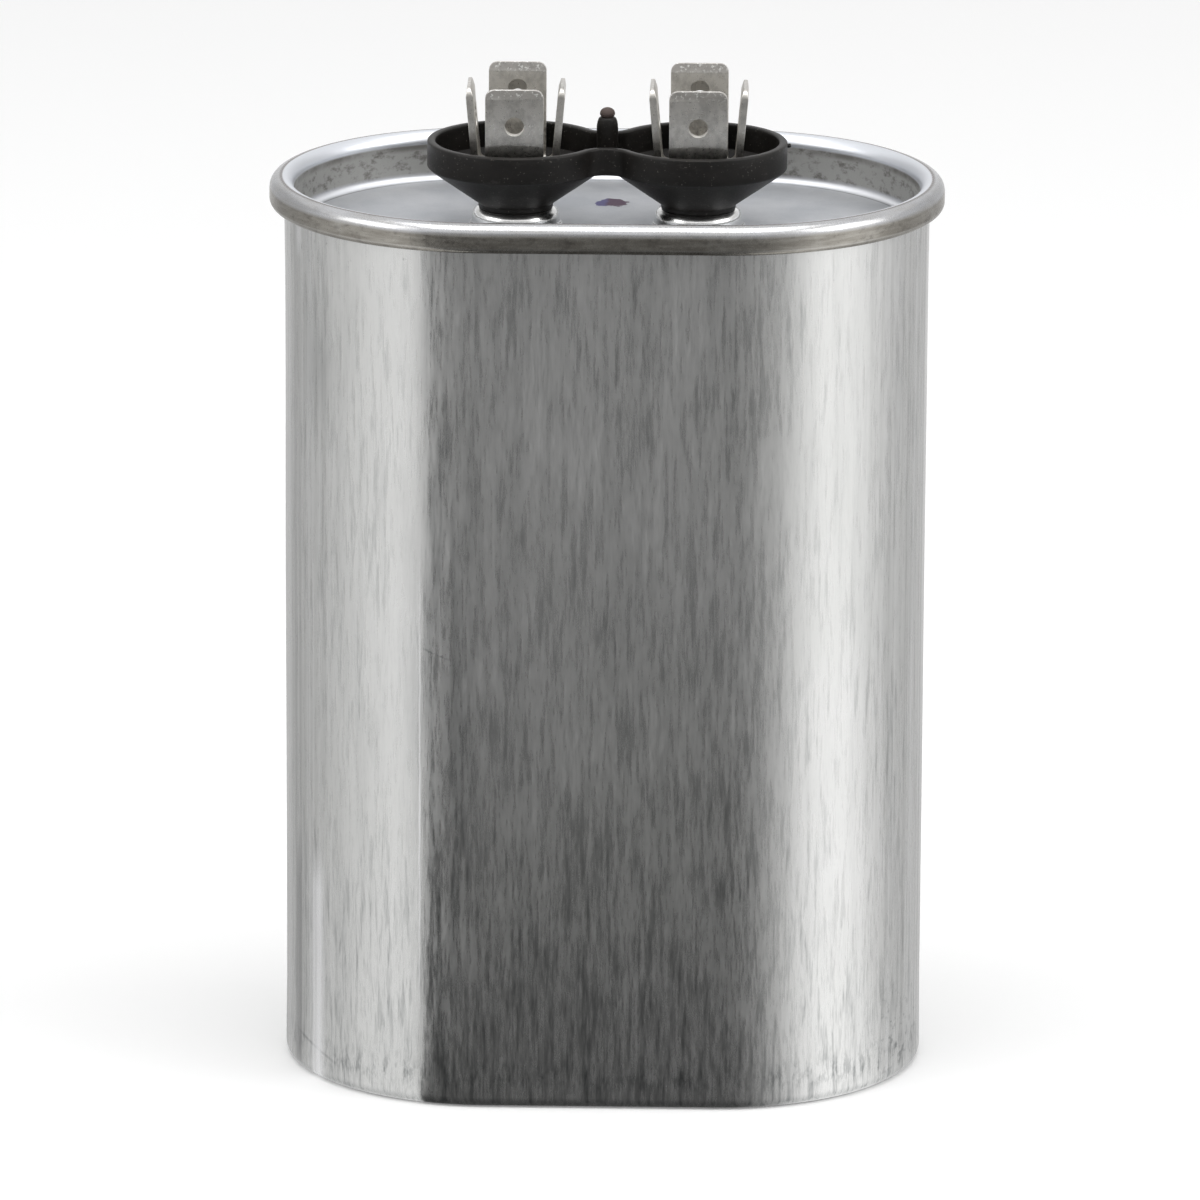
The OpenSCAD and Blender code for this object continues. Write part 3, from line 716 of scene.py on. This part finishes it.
def tin_plate(name):
    """Tinned brass stampings: satin faces with spots, a darker strip along the coined tops with
    painted glints in it, and mottled painted shade low down, where the blades go into the cups.
    """
    metal = Finish(name, Metallic=1.0)
    x, y, z = metal.axes()
    fine = metal.noise(6000, (1, 1, 1), 2, 0.6)
    spots = metal.span(metal.noise(900, (1, 1, 0.8), 4, 0.65), 0.45, 0.68)
    colour = metal.blend(metal.product(spots, 0.6), (0.66, 0.64, 0.60), (0.36, 0.35, 0.33))
    # mottled painted shade, darker towards the bottom, where the blades go down into the cups
    low = metal.span(z, 105.2, 103.6)
    mottled_cup_shade = metal.span(metal.noise(1100, (1, 1, 1), 4, 0.7, (3, 3, 3)), 0.36, 0.62)
    colour = metal.blend(metal.product(low, mottled_cup_shade, 0.8), colour, (0.16, 0.15, 0.14))
    # a darker strip along the coined tops, with painted glints in it
    top = metal.span(z, 109.9, 110.5)
    painted_glints = metal.span(metal.noise(2600, (1, 1, 1), 2, 0.7, (5, 5, 5)), 0.56, 0.64)
    colour = metal.blend(metal.product(top, 0.45), colour, (0.30, 0.28, 0.27))
    colour = metal.blend(metal.product(top, painted_glints, 0.8), colour, (0.95, 0.95, 0.92))
    roughness = metal.span(fine, 0.3, 0.7, 0.26, 0.38)
    normal = metal.bump(fine, 2e-6, metal.bump(spots, 4e-6))
    return metal.finish(colour, roughness, normal)


def phenolic():
    """Black-brown moulded plastic, dusty and a little uneven."""
    plastic = Finish("moulded_phenolic", Specular_IOR_Level=0.22)
    x, y, z = plastic.axes()
    fine = plastic.noise(5000, (1, 1, 1), 3, 0.6)
    cloud = plastic.noise(260, (1, 1, 2), 4, 0.65)
    dust = plastic.span(plastic.noise(3800, (1, 1, 1), 1, 0.5, (2, 2, 2)), 0.70, 0.75)
    rubs = plastic.span(plastic.noise(700, (1, 1, 2.2), 4, 0.7, (6, 2, 2)), 0.60, 0.70)
    colour = plastic.blend(plastic.span(cloud, 0.35, 0.65), (0.0075, 0.0068, 0.006),
                           (0.0125, 0.0108, 0.0095))
    colour = plastic.blend(plastic.product(rubs, 0.35), colour, (0.05, 0.048, 0.044))
    nub = plastic.span(z, 106.55, 106.75)
    colour = plastic.blend(plastic.product(nub, 0.9), colour, (0.10, 0.075, 0.068))
    colour = plastic.blend(plastic.product(dust, 0.4), colour, (0.18, 0.17, 0.15))
    roughness = plastic.math("ADD", plastic.span(fine, 0.3, 0.7, 0.36, 0.48),
                             plastic.product(nub, 0.2))
    return plastic.finish(colour, roughness, plastic.bump(fine, 4e-6))


def plain_stock(name, dark, light, rough, metallic=0.0):
    """Finish of a piece inside the sealed can: its colour and gloss vary a little."""
    stock = Finish(name, Metallic=metallic)
    fine = stock.noise(900, (1, 1, 1), 3, 0.6)
    colour = stock.blend(stock.span(fine, 0.3, 0.7), dark, light)
    return stock.finish(colour, stock.span(fine, 0.3, 0.7, rough - 0.05, rough + 0.05))


def dress(piece, material):
    piece.data.materials.clear()
    piece.data.materials.append(material)


# ---------------------------------------------------------------- studio

def stage_mesh(name, vertices, faces, material):
    mesh = bpy.data.meshes.new(name)
    mesh.from_pydata(vertices, [], faces)
    mesh.materials.append(material)
    piece = bpy.data.objects.new(name, mesh)
    bpy.context.scene.collection.objects.link(piece)
    return piece


def bare_material(name):
    material = bpy.data.materials.new(name)
    material.use_nodes = True
    material.node_tree.nodes.clear()
    return material, material.node_tree


def seen_light(tree):
    """1 for rays from the camera and for mirror and glass rays, and 0 for the rest."""
    path = tree.nodes.new("ShaderNodeLightPath")
    total = path.outputs["Is Camera Ray"]
    for name in ("Is Glossy Ray", "Is Transmission Ray"):
        add = tree.nodes.new("ShaderNodeMath")
        add.operation = "ADD"
        add.use_clamp = True
        tree.links.new(total, add.inputs[0])
        tree.links.new(path.outputs[name], add.inputs[1])
        total = add.outputs[0]
    return total


def floor_material():
    """Pale floor: a plain matt surface that keeps the shadow, and a little light of its own."""
    material, tree = bare_material("pale_floor")
    matt = tree.nodes.new("ShaderNodeBsdfDiffuse")
    matt.inputs["Color"].default_value = (0.86, 0.86, 0.86, 1)
    glow = tree.nodes.new("ShaderNodeEmission")
    scale = tree.nodes.new("ShaderNodeMath")
    scale.operation = "MULTIPLY"
    scale.inputs[1].default_value = 0.12
    tree.links.new(seen_light(tree), scale.inputs[0])
    tree.links.new(scale.outputs[0], glow.inputs["Strength"])
    both = tree.nodes.new("ShaderNodeAddShader")
    tree.links.new(matt.outputs[0], both.inputs[0])
    tree.links.new(glow.outputs[0], both.inputs[1])
    output = tree.nodes.new("ShaderNodeOutputMaterial")
    tree.links.new(both.outputs[0], output.inputs["Surface"])
    return material


def curve(tree, value, low, high, stops):
    """A grey ramp over a number's range: stops are (number, brightness)."""
    spread = tree.nodes.new("ShaderNodeMapRange")
    spread.inputs["From Min"].default_value = low
    spread.inputs["From Max"].default_value = high
    tree.links.new(value, spread.inputs["Value"])
    ramp = tree.nodes.new("ShaderNodeValToRGB")
    tree.links.new(spread.outputs[0], ramp.inputs[0])
    band = ramp.color_ramp
    while len(band.elements) < len(stops):
        band.elements.new(0.5)
    for element, (number, tone) in zip(band.elements, stops):
        element.position = (number - low) / (high - low)
        element.color = (*([tone] * 3), 1) if isinstance(tone, float) else (*tone, 1)
    return ramp.outputs[0]


def painted_reflection_material():
    """A glowing sheet round the table that paints the reflections which mirrors see: dark in
    front, white at the sides and grey further back. Brightness goes by the place on the table."""
    material, tree = bare_material("painted_reflection_sheet")
    place = tree.nodes.new("ShaderNodeTexCoord").outputs["Object"]
    parts = tree.nodes.new("ShaderNodeSeparateXYZ")
    tree.links.new(place, parts.inputs[0])

    def number(operation, a, b=0.0):
        node = tree.nodes.new("ShaderNodeMath")
        node.operation = operation
        for socket, value in zip(node.inputs, (a, b)):
            if isinstance(value, bpy.types.NodeSocket):
                tree.links.new(value, socket)
            else:
                socket.default_value = value
        return node.outputs[0]

    side = number("MAXIMUM", number("SUBTRACT", number("ABSOLUTE", parts.outputs[0]), 0.0128), 0.0)
    ahead = number("SUBTRACT", number("MULTIPLY", parts.outputs[1], -1.0), 0.012)
    angle = number("DEGREES", number("ARCTAN2", side, ahead))
    turn = number("MULTIPLY", angle, number("SIGN", parts.outputs[0]))
    away = number("SQRT", number("ADD", number("MULTIPLY", side, side),
                                 number("MULTIPLY", ahead, ahead)))
    round_stops = [(-180, 1.0), (-165, 0.8), (-150, 0.6), (-128, 0.58), (-112, 0.62),
                   (-100, 0.72), (-85, 0.84), (-70, 0.95), (-55, 1.06), (-36, 1.10), (36, 1.0),
                   (50, 1.15), (60, 1.36), (80, 1.36), (92, 0.98), (104, 0.76), (115, 0.68),
                   (140, 0.66), (150, 0.66), (165, 0.8), (180, 1.0)]
    light = curve(tree, turn, -180, 180, [(a, tone / 1.4) for a, tone in round_stops])
    ahead_stops = [(0.0, 0.11), (0.06, 0.12), (0.11, 0.15), (0.17, 0.21), (0.23, 0.26),
                   (0.30, 0.26), (0.36, 0.17), (0.5, 0.24), (1.0, 0.40), (1.8, 0.46)]
    dark = curve(tree, away, 0.0, 1.8, [(a, tone / 1.4) for a, tone in ahead_stops])
    share_stops = [(-60, 0.0), (-37.5, 0.0), (-35.0, 1.0), (10.0, 1.0), (20.0, 0.9), (34.0, 0.55),
                   (44.0, 0.15), (52.0, 0.0)]
    share = curve(tree, turn, -180, 180, share_stops)
    mix = tree.nodes.new("ShaderNodeMix")
    mix.data_type = "RGBA"
    tree.links.new(share, mix.inputs[0])
    tree.links.new(light, mix.inputs[6])
    tree.links.new(dark, mix.inputs[7])
    glow = tree.nodes.new("ShaderNodeEmission")
    glow.inputs["Strength"].default_value = 1.4
    tree.links.new(mix.outputs[2], glow.inputs["Color"])
    output = tree.nodes.new("ShaderNodeOutputMaterial")
    tree.links.new(glow.outputs[0], output.inputs["Surface"])
    return material


def make_floor():
    size = 6.0
    corners = [(-size, -size, 0), (size, -size, 0), (size, size, 0), (-size, size, 0)]
    return stage_mesh("floor", corners, [(0, 1, 2, 3)], floor_material())


def make_painted_reflection_sheet():
    """The round glowing sheet on the table and up behind it, which only mirrors see; its glow paints
    the reflections.
    """
    steps, reach_out, lift, height = 96, 1.8, 0.1 * MM, 1.1
    ring = [2 * math.pi * i / steps for i in range(steps)]
    low = [(reach_out * math.cos(t), reach_out * math.sin(t), lift) for t in ring]
    high = [(x, y, height) for x, y, _ in low]
    faces = [tuple(range(steps))]
    faces += [(i, (i + 1) % steps, steps + (i + 1) % steps, steps + i) for i in range(steps)]
    reflection_sheet = stage_mesh("painted_reflection_sheet", low + high, faces, painted_reflection_material())
    reflection_sheet.visible_camera = False
    reflection_sheet.visible_diffuse = False
    reflection_sheet.visible_transmission = False
    reflection_sheet.visible_shadow = False
    return reflection_sheet


def make_world():
    """Plain white round light. What the camera and mirrors see of it is white."""
    world = bpy.data.worlds.new("studio")
    bpy.context.scene.world = world
    world.use_nodes = True
    tree = world.node_tree
    background = tree.nodes["Background"]
    background.inputs["Color"].default_value = (1, 1, 1, 1)
    spread = tree.nodes.new("ShaderNodeMapRange")
    spread.inputs["To Min"].default_value = 0.55
    spread.inputs["To Max"].default_value = 1.0
    tree.links.new(seen_light(tree), spread.inputs["Value"])
    tree.links.new(spread.outputs[0], background.inputs["Strength"])


def soft_lamp(name, place, target, size, power):
    lamp = bpy.data.lights.new(name, "AREA")
    lamp.shape = "RECTANGLE"
    lamp.size, lamp.size_y = size
    lamp.energy = power
    piece = bpy.data.objects.new(name, lamp)
    bpy.context.scene.collection.objects.link(piece)
    piece.location = place
    piece.rotation_euler = (Vector(target) - Vector(place)).to_track_quat("-Z", "Y").to_euler()
    return piece


def make_lights():
    aim = (0, 0, 0.05)
    soft_lamp("left_softbox", (-0.9, -0.35, 0.75), aim, (0.7, 0.6), 2.5)
    soft_lamp("right_softbox", (0.9, -0.25, 0.75), aim, (0.7, 0.6), 3.5)
    soft_lamp("top_softbox", (0, -0.15, 1.1), aim, (0.9, 0.7), 6)


def make_camera():
    elevation = math.radians(15.41)
    yaw = math.radians(1.033)
    roll = math.radians(0.293)
    distance = 1.23877
    aim = Vector((-0.549, 0, 51.804)) * MM
    camera = bpy.data.cameras.new("camera")
    camera.sensor_width = 36
    camera.lens = 336.07
    camera.clip_end = 20
    piece = bpy.data.objects.new("camera", camera)
    bpy.context.scene.collection.objects.link(piece)
    back = Vector((0, -math.cos(elevation), math.sin(elevation))) * distance
    turn = Matrix.Rotation(yaw, 4, "Z")
    tilt = Matrix.Rotation(math.pi / 2 - elevation, 4, "X")
    piece.matrix_world = turn @ Matrix.Translation(aim + back) @ tilt @ Matrix.Rotation(roll, 4, "Z")
    bpy.context.scene.camera = piece


# ---------------------------------------------------------------- scene

make_camera()
make_world()
make_lights()
make_floor()
make_painted_reflection_sheet()

tin = tin_plate("tin_plate")
black = phenolic()
dress(make_can(), drawn_aluminium())
dress(make_lid(), pressed_lid())
dress(make_insulator(), black)
for side in ("left", "right"):
    for kind in ("blade_strip", "cross_strip"):
        node = side + "_" + kind
        dress(rounded(node, node + "_stamping", 0.11 * MM, 3), tin)
dress(rounded("terminal_rivets", "rivets", 0.08 * MM), tin)

INSIDE = {
    "seam_compound": ((0.05, 0.05, 0.05), (0.09, 0.09, 0.09), 0.5, 0.0),
    "seal": ((0.06, 0.03, 0.02), (0.10, 0.06, 0.04), 0.6, 0.0),
    "plate": ((0.30, 0.16, 0.08), (0.36, 0.21, 0.11), 0.6, 0.0),
    "tab": ((0.72, 0.56, 0.30), (0.78, 0.62, 0.36), 0.35, 1.0),
    "sleeve": ((0.75, 0.74, 0.68), (0.82, 0.81, 0.76), 0.5, 0.0),
    "lead": ((0.70, 0.66, 0.60), (0.78, 0.74, 0.68), 0.35, 1.0),
    "core": ((0.78, 0.78, 0.76), (0.84, 0.84, 0.82), 0.4, 0.0),
    "wrap": ((0.70, 0.66, 0.50), (0.78, 0.74, 0.58), 0.3, 0.0),
    "contact": ((0.42, 0.42, 0.43), (0.55, 0.55, 0.56), 0.6, 1.0),
    "winding": ((0.72, 0.72, 0.74), (0.80, 0.80, 0.82), 0.3, 1.0),
    "pad": ((0.60, 0.48, 0.32), (0.68, 0.56, 0.40), 0.7, 0.0),
}


def dress_inside():
    """Finishes of the pieces inside the can, chosen by the word that their node's name holds."""
    for kind, (dark, light, rough, metallic) in INSIDE.items():
        stock = plain_stock(kind, dark, light, rough, metallic)
        for name, node in NODES.items():
            if kind in name and not node.hide_render and "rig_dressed" not in node:
                dress(node, stock)
                node["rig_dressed"] = True


dress_inside()

bpy.context.scene.view_settings.view_transform = "Standard"
